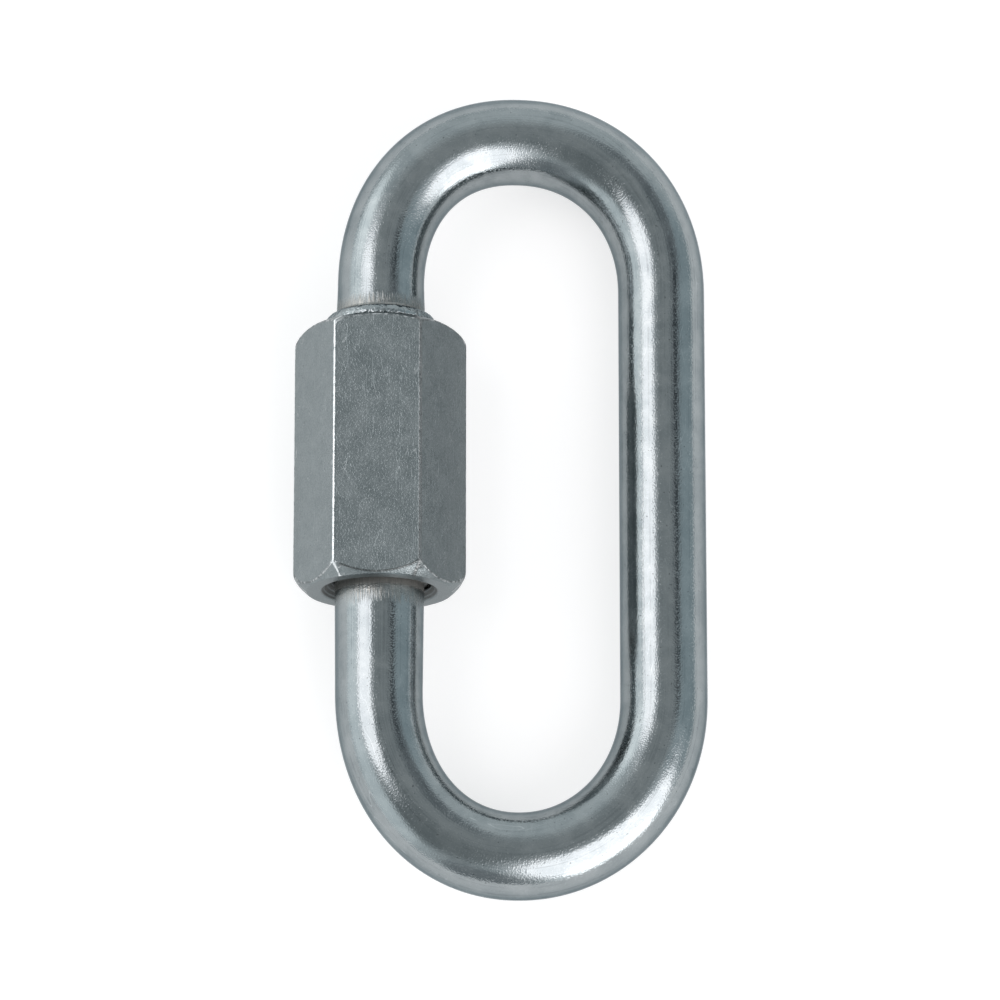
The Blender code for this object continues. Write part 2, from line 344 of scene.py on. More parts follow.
def rod_tree(thread_form):
    """Sweep a circle along the rod's line, cut the thread on its ends and crinkle the upset collar."""
    tree, given, result = new_group(
        "bent rod",
        "GeometryNodeTree",
        {
            "Geometry": ("Geometry", None),
            "Sides": ("Int", ROD_SIDES),
            "Thread Axis": ("Vector", None),
            "Thread Pitch": ("Float", PITCH * MM),
            "Thread Depth": ("Float", THREAD_DEPTH * MM),
            "Crinkle Size": ("Float", CRINKLE_SIZE * MM),
            "Crinkle Depth": ("Float", CRINKLE_DEPTH * MM),
            "Crinkle Seed": ("Float", CRINKLE_SEED),
            "Mouth": ("Float", 0.0),
            "Finish": ("Material", None),
        },
        {"Geometry": ("Geometry", None)},
    )
    position = add(tree, "GeometryNodeInputPosition").outputs[0]
    core = named(tree, "core", "FLOAT_VECTOR")
    rod_radius = named(tree, "rod_radius")
    threaded = named(tree, "threaded")

    line = add(tree, "GeometryNodeMeshToCurve", {0: given.outputs["Geometry"]}).outputs[0]
    line = add(tree, "GeometryNodeSetCurveNormal", {0: line}, mode="Z_UP").outputs[0]
    line = store(tree, line, "core", position, "FLOAT_VECTOR")
    circle = {"Resolution": given.outputs["Sides"], "Radius": 1.0}
    ring = add(tree, "GeometryNodeCurvePrimitiveCircle", circle).outputs[0]
    ring = store(tree, ring, "round", position, "FLOAT_VECTOR")
    sweep = {0: line, 1: ring, "Scale": rod_radius, "Fill Caps": True}
    swept = add(tree, "GeometryNodeCurveToMesh", sweep).outputs[0]

    thread = placed(
        tree,
        thread_form,
        {
            "Axis": given.outputs["Thread Axis"],
            "Pitch": given.outputs["Thread Pitch"],
            "Depth": given.outputs["Thread Depth"],
            "Runout": named(tree, "runout"),
        },
    )
    cut = product(tree, thread.outputs["Height"], threaded)
    cut = maths(tree, "MINIMUM", cut, named(tree, "headroom"))
    crinkle = add(
        tree,
        "ShaderNodeTexNoise",
        {
            "W": given.outputs["Crinkle Seed"],
            "Scale": maths(tree, "DIVIDE", 1.0, given.outputs["Crinkle Size"]),
            "Detail": 3.0,
            "Roughness": 0.6,
        },
        noise_dimensions="4D",
    ).outputs["Fac"]
    crinkle = product(tree, from_half(tree, crinkle), given.outputs["Crinkle Depth"])
    crinkle = product(tree, crinkle, named(tree, "crinkled"))

    # Painted shade: darker in the thread's root and on the neck inside the nut's lower mouth
    past_mouth = maths(tree, "SUBTRACT", sides_of(tree, core)["Y"], given.outputs["Mouth"])
    starts, ends = (
        ramp(tree, past_mouth, low * MM, high * MM) for low, high in (NECK_SHADE_START, NECK_SHADE_END)
    )
    on_nut_leg = maths(tree, "ADD", threaded, named(tree, "gripped"))
    on_nut_leg = maths(tree, "GREATER_THAN", on_nut_leg, 0.9)
    inside = product(tree, starts, ends, on_nut_leg, NECK_SHADE)
    root = maths(tree, "MAXIMUM", product(tree, thread.outputs["Root"], threaded), inside)
    swept = store(tree, swept, "root", root)

    outward = vector_maths(tree, "NORMALIZE", vector_maths(tree, "SUBTRACT", position, core))
    swept = shifted(tree, swept, outward, maths(tree, "ADD", cut, crinkle))
    ring_sides = sides_of(tree, named(tree, "round", "FLOAT_VECTOR"))
    radius = maths(tree, "DIVIDE", rod_radius, MM)
    unrolled = place_at(
        tree,
        named(tree, "along"),
        product(tree, ring_sides["X"], radius),
        product(tree, ring_sides["Y"], radius),
    )
    swept = store(tree, swept, "rod_place", unrolled, "FLOAT_VECTOR")
    smooth = add(tree, "GeometryNodeSetShadeSmooth", {0: swept}).outputs[0]
    finish_tree(tree, smooth, given, result)
    return tree


def nut_tree(thread_form):
    """Cut the thread outwards into the nut's plain bore, and paint shade into its thread's root and its
    countersinks.
    """
    tree, given, result = new_group(
        "sleeve nut",
        "GeometryNodeTree",
        {
            "Geometry": ("Geometry", None),
            "Thread Axis": ("Vector", None),
            "Thread Pitch": ("Float", PITCH * MM),
            "Thread Depth": ("Float", THREAD_DEPTH * MM),
            "Finish": ("Material", None),
        },
        {"Geometry": ("Geometry", None)},
    )
    thread = placed(
        tree,
        thread_form,
        {
            "Axis": given.outputs["Thread Axis"],
            "Pitch": given.outputs["Thread Pitch"],
            "Depth": given.outputs["Thread Depth"],
        },
    )
    excess = named(tree, "excess")
    height = maths(tree, "MAXIMUM", 0.0, maths(tree, "SUBTRACT", thread.outputs["Height"], excess))
    height = product(tree, height, named(tree, "threaded"))
    along = sides_of(tree, add(tree, "GeometryNodeInputPosition").outputs[0])["Y"]
    rings = maths(tree, "FRACT", maths(tree, "DIVIDE", along, TOOL_FEED * MM))
    rings = ramp(tree, maths(tree, "ABSOLUTE", from_half(tree, rings)), 0.3, 0.48)
    # Painted shade: the thread's root and the countersinks darken, more deeply into the bore, less on the
    # lathe tool's rings
    opened = ramp(tree, excess, 0.0, 0.1 * MM)
    root = inverse(tree, product(tree, thread.outputs["Root"], 0.8))
    root = maths(tree, "MAXIMUM", root, product(tree, opened, 0.75))
    root = product(tree, root, inverse(tree, product(tree, rings, opened, 0.7)), named(tree, "painted_bore_shade"))
    cut = store(tree, given.outputs["Geometry"], "root", root)
    cut = shifted(tree, cut, thread.outputs["Out"], height)
    finish_tree(tree, cut, given, result)
    return tree


def add_values(mesh, name, values):
    attribute = mesh.attributes.new(name, "FLOAT", "POINT")
    attribute.data.foreach_set("value", np.asarray(values, np.float32))


def even(start, stop, step):
    """Values from start to stop, both kept, about a step apart."""
    return np.linspace(start, stop, max(2, round(abs(stop - start) / step) + 1))


def bow_point(share, side, leg_end, bow):
    """Centre line of a bow in the link's plane, from one leg's end to the other as share goes 0 to 1."""
    depth, lean, fullness = bow
    angle = math.pi * share
    ratios = (math.cos(angle), math.sin(angle))
    across, rise = (math.copysign(abs(ratio) ** (2 / fullness), ratio) for ratio in ratios)
    x = -side * LEG_SPACING / 2 * across - lean * math.sin(angle) ** 2
    return x, leg_end + side * depth * rise


def station(x, y, radius, threaded=0.0, runout=0.0, headroom=0.0, crinkled=0.0, gripped=0.0):
    """One point of the rod's line, in the link's own plane, and what the rod is like there."""
    return x, y, radius, threaded, runout, headroom, crinkled, gripped


def stub_station(y, from_end, radius, threaded, **others):
    """A point of a threaded stub. It tapers towards its end, so that the end has a chamfer."""
    if threaded > 0.0:
        room = STUB_END_RADIUS + from_end
        radius = min(radius, room)
        from_end = max(0.0, room - radius)
    return station(NUT_LEG_X, y, radius, threaded, headroom=from_end, **others)


def rod_stations():
    """Stations along the rod from its upper threaded end, round both bows, to its lower threaded end.

    Each stretch starts a small step past the one before it.
    """
    stations = []
    for y in even(UPPER_STUB_END_Y, COLLAR_SEAT_Y - 0.1, THREAD_ROW):
        runout = np.clip(y - COLLAR_SEAT_Y + UPPER_RUNOUT, 0.0, UPPER_RUNOUT_SHARE)
        stations.append(stub_station(y, y - UPPER_STUB_END_Y, ROD_ROOT_RADIUS, 1.0, runout=runout))

    for height, radius in COLLAR_LOWER_RIM:
        stations.append(station(NUT_LEG_X, COLLAR_SEAT_Y + height, radius, crinkled=0.15))
    rounding_start = COLLAR_TOP_Y - COLLAR_ROUNDING
    for y in even(COLLAR_SEAT_Y + 0.26, rounding_start - 0.08, COLLAR_ROW):
        stations.append(station(NUT_LEG_X, y, COLLAR_RADIUS, crinkled=0.6))
    for step in range(COLLAR_STEPS + 1):
        angle = math.pi / 2 * min(step / COLLAR_STEPS, 0.9999)
        y = rounding_start + COLLAR_ROUNDING * math.sin(angle) ** COLLAR_SQUARENESS
        rise = (COLLAR_RADIUS - COLLAR_FOOT_RADIUS) * math.cos(angle) ** COLLAR_SQUARENESS
        stations.append(station(NUT_LEG_X, y, COLLAR_FOOT_RADIUS + rise, crinkled=1.0))
    for y in even(COLLAR_TOP_Y + 0.08, UPPER_LEG_END_Y - 0.3, UPPER_NECK_ROW):
        share = (y - COLLAR_TOP_Y) / (UPPER_LEG_END_Y - COLLAR_TOP_Y)
        radius = NECK_RADIUS + (ROD_RADIUS - NECK_RADIUS) * share
        crinkled = max(0.0, 0.4 - share * 4)
        gripped = max(0.0, 1.0 - (y - COLLAR_TOP_Y) / UPPER_GRIP)
        stations.append(station(NUT_LEG_X, y, radius, crinkled=crinkled, gripped=gripped))

    for step in range(BOW_ROWS + 1):
        place = bow_point(step / BOW_ROWS, 1, UPPER_LEG_END_Y, UPPER_BOW)
        stations.append(station(*place, ROD_RADIUS))
    for y in even(UPPER_LEG_END_Y, LOWER_LEG_END_Y, LEG_ROW)[1:-1]:
        stations.append(station(-NUT_LEG_X, y, ROD_RADIUS))
    for step in range(BOW_ROWS + 1):
        place = bow_point(step / BOW_ROWS, -1, LOWER_LEG_END_Y, LOWER_BOW)
        stations.append(station(*place, ROD_RADIUS))

    for y in even(LOWER_LEG_END_Y + 0.4, LOWER_MOUTH_Y - 0.2, LOWER_NECK_ROW):
        share = (y - LOWER_LEG_END_Y) / (LOWER_MOUTH_Y - LOWER_LEG_END_Y)
        radius = ROD_RADIUS + (NECK_RADIUS - ROD_RADIUS) * share
        gripped = max(0.0, 1.0 - (LOWER_MOUTH_Y - y) / LOWER_GRIP)
        stations.append(station(NUT_LEG_X, y, radius, gripped=gripped))
    for y in even(LOWER_MOUTH_Y, LOWER_STUB_END_Y, THREAD_ROW):
        share = np.clip((y - LOWER_MOUTH_Y - LOWER_THREAD_SETBACK) / LOWER_RUNOUT, 0.0, 1.0)
        radius = NECK_RADIUS + (ROD_ROOT_RADIUS - NECK_RADIUS) * share
        stations.append(stub_station(y, LOWER_STUB_END_Y - y, radius, share, gripped=1.0 - share))
    return stations


def make_rod(material, thread_form):
    stations = np.array(rod_stations())
    plane = Matrix.Translation(LINK_MIDDLE) @ Matrix.Rotation(REST_TILT, 4, "Y")
    points = [plane @ Vector((x, y, 0.0)) * MM for x, y in stations[:, :2]]
    mesh = bpy.data.meshes.new("bent_rod_line")
    mesh.from_pydata(points, [(i, i + 1) for i in range(len(points) - 1)], [])
    steps = np.linalg.norm(np.diff(np.array(points), axis=0), axis=1) / MM
    add_values(mesh, "along", np.concatenate([[0.0], np.cumsum(steps)]))
    add_values(mesh, "rod_radius", stations[:, 2] * MM)
    add_values(mesh, "threaded", stations[:, 3])
    add_values(mesh, "runout", stations[:, 4])
    add_values(mesh, "headroom", stations[:, 5] * MM)
    add_values(mesh, "crinkled", stations[:, 6])
    add_values(mesh, "gripped", stations[:, 7])
    line = bpy.data.objects.new("bent_rod_line", mesh)
    bpy.context.scene.collection.objects.link(line)
    sizes = {
        "Sides": ROD_SIDES,
        "Thread Axis": NUT_AXIS * MM,
        "Thread Pitch": PITCH * MM,
        "Thread Depth": THREAD_DEPTH * MM,
        "Crinkle Size": CRINKLE_SIZE * MM,
        "Crinkle Depth": CRINKLE_DEPTH * MM,
        "Crinkle Seed": CRINKLE_SEED,
        "Mouth": LOWER_MOUTH_Y * MM,
        "Finish": material,
    }
    return as_plain_mesh(line, rod_tree(thread_form), sizes, "rod")


def as_plain_mesh(source, tree, sizes, name):
    """Run a Geometry Nodes tree on an object and keep its result as a plain mesh under a new name."""
    change = source.modifiers.new(tree.name, "NODES")
    change.node_group = tree
    for item in tree.interface.items_tree:
        if item.in_out == "INPUT" and item.name in sizes:
            change[item.identifier] = sizes[item.name]
    bpy.context.view_layer.update()
    evaluated = source.evaluated_get(bpy.context.evaluated_depsgraph_get())
    mesh = bpy.data.meshes.new_from_object(evaluated)
    source.modifiers.remove(change)
    bpy.data.objects.remove(source, do_unlink=True)
    form = bmesh.new()
    form.from_mesh(mesh)
    bmesh.ops.recalc_face_normals(form, faces=form.faces)
    form.to_mesh(mesh)
    form.free()
    mesh.name = name
    piece = bpy.data.objects.new(name, mesh)
    bpy.context.scene.collection.objects.link(piece)
    return piece


def nut_columns():
    """(angle, radius, distance to the nearest long edge) round the hexagon with its rounded edges."""
    centre = NUT_CORNER_RADIUS - NUT_EDGE_ROUNDING / math.cos(HALF_SIDE)
    reach = math.atan2(NUT_EDGE_ROUNDING / 2, centre + NUT_EDGE_ROUNDING * math.cos(HALF_SIDE))
    first, last = reach + FLAT_INSET, 2 * HALF_SIDE - reach - FLAT_INSET
    columns = []
    for side in range(6):
        start = side * 2 * HALF_SIDE
        for offset in np.linspace(-reach, reach, EDGE_COLUMNS):
            radius = centre * math.cos(offset)
            radius += math.sqrt(NUT_EDGE_ROUNDING ** 2 - (centre * math.sin(offset)) ** 2)
            columns.append((start + offset, radius, 0.0))
        for offset in np.linspace(first, last, FLAT_COLUMNS):
            radius = NUT_HALF_FLATS / math.cos(offset - HALF_SIDE)
            distance = NUT_HALF_FLATS * (math.tan(HALF_SIDE - reach) - abs(math.tan(offset - HALF_SIDE)))
            columns.append((start + offset, radius, max(0.0, distance)))
    return columns


def eased(before, corner, after, steps):
    """Round a corner of an outline with a curve that starts at before and ends at after."""
    points = []
    for step in range(steps + 1):
        t = step / steps
        first, second, third = (1 - t) ** 2, 2 * t * (1 - t), t * t
        points.append(tuple(first * a + second * b + third * c for a, b, c in zip(before, corner, after)))
    return points


def nut_end(radius, face_radius, chamfer, knocked):
    """Half-outline of one end at one column, from the flat up over the chamfer and face to the bore.

    Each point is (radius, height above the nut's middle, distance from an edge that its wear is like).
    knocked is 1 where the corner has been rounded by knocks and 0 where it is still sharp.
    """
    top = NUT_HALF_LENGTH
    crossing = top - (radius - face_radius) * math.tan(chamfer)
    to_corner = max(0.0, (radius - NUT_HALF_FLATS) / (NUT_CORNER_RADIUS - NUT_HALF_FLATS))
    out = ARC_ROUNDING + KNOCKED_ROUNDING * knocked * to_corner ** 3
    slope = (math.cos(chamfer), math.sin(chamfer))
    rows = [(radius, crossing - out - depth, depth + 0.2) for depth in (0.9, 0.45, 0.15)]
    before = (radius, crossing - out)
    after = (radius - slope[0] * out, crossing + slope[1] * out)
    rows += [(*point, ARC_WEAR) for point in eased(before, (radius, crossing), after, ARC_STEPS)]
    rows.append(((radius + face_radius) / 2, (crossing + top) / 2, MIDDLE_WEAR))
    reach = min(FACE_EASE, (radius - face_radius) * 0.3)
    before = (face_radius + slope[0] * reach, top - slope[1] * reach)
    after = (face_radius - FACE_EASE, top)
    rows += [(*point, FACE_EDGE_WEAR) for point in eased(before, (face_radius, top), after, RIM_STEPS)]
    rows.append(((face_radius + MOUTH_RADIUS) / 2, top, MIDDLE_WEAR))
    before = (MOUTH_RADIUS + FACE_EASE, top)
    after = (MOUTH_RADIUS - MOUTH_EASE, top - MOUTH_EASE)
    rows += [(*point, MOUTH_EDGE_WEAR) for point in eased(before, (MOUTH_RADIUS, top), after, RIM_STEPS)]
    return rows


def nut_outline(angle, radius):
    """One column of the nut's skin, as (radius, height, distance from an edge, strength of the bore's
    painted shade), and round again.
    """
    knocked = abs(math.sin(angle + HALF_SIDE)) ** KNOCK_SHARPNESS
    top = nut_end(radius, UPPER_FACE_RADIUS, UPPER_CHAMFER, knocked)
    bottom = nut_end(radius, LOWER_FACE_RADIUS, LOWER_CHAMFER, knocked)
    high, low = top[0][1], -bottom[0][1]
    outline = []
    for share in np.linspace(-FLAT_REACH, FLAT_REACH, FLAT_ROWS):
        outline.append((radius, (high + low) / 2 + (high - low) / 2 * share, UNWORN, 0.0))
    outline += [(*point, 0.0) for point in top]
    bore_top = NUT_HALF_LENGTH - 2 * MOUTH_EASE
    for y in even(bore_top, -bore_top, THREAD_ROW):
        from_face = NUT_HALF_LENGTH - abs(y)
        bore_radius = max(NUT_MINOR_RADIUS, MOUTH_RADIUS - from_face)
        outline.append((bore_radius, y, UNWORN, min(1.0, MOUTH_SHADE + from_face)))
    outline += [(r, -y, distance, 0.0) for r, y, distance in reversed(bottom)]
    return outline


def make_nut(material, thread_form):
    """One closed skin: over the flats, down both ends and through the threaded bore."""
    columns = nut_columns()
    points = []
    values = {"edge": [], "threaded": [], "painted_bore_shade": [], "excess": [], "painted_edge_shade": []}
    for angle, radius, long_edge in columns:
        # Painted shade: each long edge, and the arcs where flats meet chamfers, get their own amount of
        # darkening
        side = PAINTED_EDGE_SHADE[round(angle / (2 * HALF_SIDE)) % 6]
        front = angle > 5 * (2 * HALF_SIDE)  # the sixth flat faces the camera
        outline = nut_outline(angle, radius)
        for r, y, distance, bore_shade in outline:
            place = (r * math.sin(angle + HALF_SIDE), y, r * math.cos(angle + HALF_SIDE))
            points.append((Vector(place) + NUT_AXIS + Vector((0.0, NUT_MIDDLE_Y, 0.0))) * MM)
            outside = r > UPPER_FACE_RADIUS + 0.05  # on a flat or a chamfer, not a face or the bore
            on_arc = outside and distance == ARC_WEAR and long_edge > 0.2
            arc = PAINTED_FRONT_ARC_SHADE if front and y < 0.0 else PAINTED_ARC_SHADE
            values["edge"].append(min(distance, long_edge) if outside else distance)
            values["threaded"].append(1.0 if bore_shade > 0.0 else 0.0)
            values["painted_bore_shade"].append(bore_shade)
            values["excess"].append(max(0.0, r - NUT_MINOR_RADIUS) * MM)
            values["painted_edge_shade"].append(arc if on_arc else side)
    rows = len(outline)
    faces = []
    for i in range(len(columns)):
        here, there = i * rows, (i + 1) % len(columns) * rows
        for j in range(rows):
            k = (j + 1) % rows
            faces.append((here + j, here + k, there + k, there + j))
    mesh = bpy.data.meshes.new("sleeve_nut_skin")
    mesh.from_pydata(points, [], faces)
    mesh.shade_smooth()
    for name, numbers in values.items():
        add_values(mesh, name, numbers)
    skin = bpy.data.objects.new("sleeve_nut_skin", mesh)
    bpy.context.scene.collection.objects.link(skin)
    sizes = {
        "Thread Axis": NUT_AXIS * MM,
        "Thread Pitch": PITCH * MM,
        "Thread Depth": THREAD_DEPTH * MM,
        "Finish": material,
    }
    return as_plain_mesh(skin, nut_tree(thread_form), sizes, "nut")


# Finishes

ROD_ZINC = ((0.244, 0.273, 0.283), (0.306, 0.333, 0.341))
ROD_STREAK = (0.15, 0.17, 0.18)
ROD_SPARKLE = (0.42, 0.45, 0.46)
ROD_SCUFF = (0.55, 0.58, 0.59)
JAW_FILM = (0.165, 0.16, 0.145)
JAW_STROKE = (0.36, 0.355, 0.335)
# painted shade, brownish, where the rod meets the nut's lower mouth and the collar
JUNCTION_SHADE = (0.15, 0.145, 0.132)
# painted shade in the rod's thread roots and on its neck inside the nut
ROD_RECESS_SHADE = (0.07, 0.068, 0.06)
NUT_ZINC = ((0.190, 0.218, 0.225), (0.226, 0.254, 0.261))
PALE_FLECK = (0.37, 0.41, 0.42)
DARK_FLECK = (0.13, 0.15, 0.155)
UPRIGHT_SCRATCH = (0.48, 0.52, 0.53)
CROSSING_SCRATCH = (0.52, 0.55, 0.56)
# painted shade on some of the nut's edges and arcs
EDGE_SHADE_COLOUR = (0.055, 0.06, 0.06)
BARE_EDGE = (0.85, 0.88, 0.89)
# painted shade in the nut's thread roots, countersinks and bore
NUT_RECESS_SHADE = (0.025, 0.024, 0.02)
PIT = (0.10, 0.112, 0.118)
ROD_BUMP = 0.017
NUT_BUMP = 0.019
MM_PER_METRE = (1000.0, 1000.0, 1000.0)


def zinc_grain_group():
    """The plating's clouds, its fine speckle, the sandy tops of the speckle and its small dark pits."""
    tree, given, result = new_group(
        "zinc grain",
        "ShaderNodeTree",
        {"Place": ("Vector", None), "Cloud Size": ("Float", 3.0), "Speckle Size": ("Float", 0.2)},
        {name: ("Float", None) for name in ("Clouds", "Speckle", "Sand", "Pits")},
    )
    place, cloud, grain = (given.outputs[name] for name in ("Place", "Cloud Size", "Speckle Size"))
    clouds = noise(tree, place, cloud, 4.0, 0.6, 0.4)
    speckle = noise(tree, place, grain, 1.0)
    pits = noise(tree, place, product(tree, grain, 1.5), 0.0)
    pits = added(tree, pits, (noise(tree, place, product(tree, cloud, 0.7)), 0.25))
    tree.links.new(ramp(tree, clouds, 0.3, 0.7), result.inputs["Clouds"])
    tree.links.new(speckle, result.inputs["Speckle"])
    tree.links.new(ramp(tree, speckle, 0.56, 0.72), result.inputs["Sand"])
    tree.links.new(ramp(tree, pits, 0.92, 0.98), result.inputs["Pits"])
    spread_out(tree)
    return tree


def scratches_group():
    """Fine pale scratches, longest along the place's X."""
    tree, given, result = new_group(
        "fine scratches",
        "ShaderNodeTree",
        {
            "Place": ("Vector", None),
            "Spacing": ("Float", 1.5),
            "Stretch": ("Float", 8.0),
            "Width": ("Float", 0.02),
            "Share": ("Float", 0.5),
        },
        {"Scratches": ("Float", None)},
    )
    spacing = given.outputs["Spacing"]
    sides = sides_of(tree, given.outputs["Place"])
    shortened = maths(tree, "DIVIDE", sides["X"], given.outputs["Stretch"])
    place = place_at(tree, shortened, sides["Y"], sides["Z"])
    line = maths(tree, "ABSOLUTE", from_half(tree, noise(tree, place, spacing, 1.0, distortion=0.2)))
    line = ramp(tree, maths(tree, "DIVIDE", line, given.outputs["Width"]), 1.0, 0.2)
    where = noise(tree, place, product(tree, spacing, 1.3))
    edge = product(tree, inverse(tree, given.outputs["Share"]), 0.9)
    where = maths(tree, "MULTIPLY", maths(tree, "SUBTRACT", where, edge), 8.0, clamp=True)
    tree.links.new(product(tree, line, where), result.inputs["Scratches"])
    spread_out(tree)
    return tree


def drawn_lines_group():
    """Lines left along the place's X by drawing the bar through its die."""
    tree, given, result = new_group(
        "drawn lines",
        "ShaderNodeTree",
        {"Place": ("Vector", None), "Line Width": ("Float", 0.25), "Line Length": ("Float", 25.0)},
        {"Lines": ("Float", None)},
    )
    width = given.outputs["Line Width"]
    sides = sides_of(tree, given.outputs["Place"])
    ratio = maths(tree, "DIVIDE", width, given.outputs["Line Length"])
    place = place_at(tree, product(tree, sides["X"], ratio), sides["Y"], sides["Z"])
    tree.links.new(noise(tree, place, width, 2.0, 0.6), result.inputs["Lines"])
    spread_out(tree)
    return tree


def edge_wear_group():
    """Bright metal along an edge, broken up by grain."""
    tree, given, result = new_group(
        "edge wear",
        "ShaderNodeTree",
        {
            "Edge Distance": ("Float", 9.0),
            "Place": ("Vector", None),
            "Reach": ("Float", 0.2),
            "Break Up": ("Float", 0.5),
        },
        {"Wear": ("Float", None)},
    )
    grain = noise(tree, given.outputs["Place"], 0.45, 3.0, 0.6)
    near = inverse(tree, maths(tree, "DIVIDE", given.outputs["Edge Distance"], given.outputs["Reach"]))
    near = added(tree, near, (from_half(tree, grain), given.outputs["Break Up"]))
    tree.links.new(ramp(tree, near, 0.0, 0.8), result.inputs["Wear"])
    spread_out(tree)
    return tree


def new_metal(name, edge_tint):
    """A metal's material. edge_tint colours what the metal mirrors at grazing angles."""
    material = bpy.data.materials.new(name)
    material.use_nodes = True
    tree = material.node_tree
    shader = tree.nodes["Principled BSDF"]
    shader.inputs["Metallic"].default_value = 1.0
    shader.inputs["Specular Tint"].default_value = (*edge_tint, 1.0)
    return material, tree, shader


def surface_value(tree, name, output="Fac"):
    return add(tree, "ShaderNodeAttribute", attribute_name=name).outputs[output]


def layered(tree, colour, *layers):
    """Lay tints over a colour, each where its mask shows and as strongly as it says."""
    for mask, strength, tint in layers:
        colour = blend_colour(tree, product(tree, mask, strength), colour, tint)
    return colour


def join_up(tree, shader, colour, rough, painted_shade, height, bump):
    """Wire a finish to its shader. Where shade is painted, it has no metal's shine."""
    tree.links.new(colour, shader.inputs["Base Color"])
    tree.links.new(rough, shader.inputs["Roughness"])
    tree.links.new(inverse(tree, painted_shade), shader.inputs["Metallic"])
    raised = add(tree, "ShaderNodeBump", {"Height": height, "Strength": 1.0, "Distance": bump * MM})
    tree.links.new(raised.outputs[0], shader.inputs["Normal"])
    spread_out(tree)


def rod_finish(grain, scratches, drawn):
    """Bright zinc on drawn rod: cool grey, sandy, with drawn lines, jaws' marks beside the nut, and painted
    shade in its thread roots, inside the nut and where it meets the nut's mouth and the collar.
    """
    material, tree, shader = new_metal("zinc_plated_rod", (0.42, 0.46, 0.48))
    place = surface_value(tree, "rod_place", "Vector")
    root, gripped, crinkled = (surface_value(tree, name) for name in ("root", "gripped", "crinkled"))
    zinc = placed(tree, grain, {"Place": place, "Cloud Size": 2.4, "Speckle Size": 0.15})
    clouds, speckle, sand, pits = zinc.outputs
    lines = placed(tree, drawn, {"Place": place, "Line Width": 0.22, "Line Length": 30.0}).outputs[0]
    jaws = placed(tree, drawn, {"Place": place, "Line Width": 0.09, "Line Length": 1.8}).outputs[0]
    sizes = {"Place": place, "Spacing": 1.2, "Stretch": 6.0, "Width": 0.006, "Share": 0.4}
    scuffs = placed(tree, scratches, sizes).outputs[0]
    ragged = added(tree, gripped, (from_half(tree, jaws), 1.4))
    grip = product(tree, ramp(tree, ragged, 0.1, 0.9), ramp(tree, gripped, 0.0, 0.3))
    strokes = product(tree, grip, ramp(tree, jaws, 0.4, 0.62))
    streaks = product(tree, ramp(tree, lines, 0.5, 0.32), inverse(tree, clouds))
    # Painted shade where the rod meets the nut's lower mouth and the collar
    rim = ramp(tree, gripped, 0.82, 1.0)
    colour = layered(
        tree,
        blend_colour(tree, clouds, *ROD_ZINC),
        (streaks, 0.5, ROD_STREAK),
        (pits, 0.6, PIT),
        (sand, 0.2, ROD_SPARKLE),
        (scuffs, 0.3, ROD_SCUFF),
        (grip, 0.45, JAW_FILM),
        (strokes, 0.6, JAW_STROKE),
        # the last two tints are painted shade: where the rod meets the nut's mouth and the collar, and in
        # recesses
        (rim, 0.6, JUNCTION_SHADE),
        (root, 0.8, ROD_RECESS_SHADE),
    )
    # Painted shade is not metal, and is rougher
    painted_shade = maths(tree, "MAXIMUM", product(tree, root, 0.8), product(tree, rim, 0.4))
    rough = added(tree, 0.08, (clouds, 0.06), (grip, 0.1), (painted_shade, 0.25))
    creases = product(tree, noise(tree, place, 0.7, 2.0, 0.6, 0.3), crinkled)
    height = added(
        tree,
        product(tree, speckle, 0.6),
        (sand, 0.13),
        (lines, 0.25),
        (product(tree, jaws, grip), 2.0),
        (creases, 15.0),
    )
    join_up(tree, shader, colour, rough, painted_shade, height, ROD_BUMP)
    return material


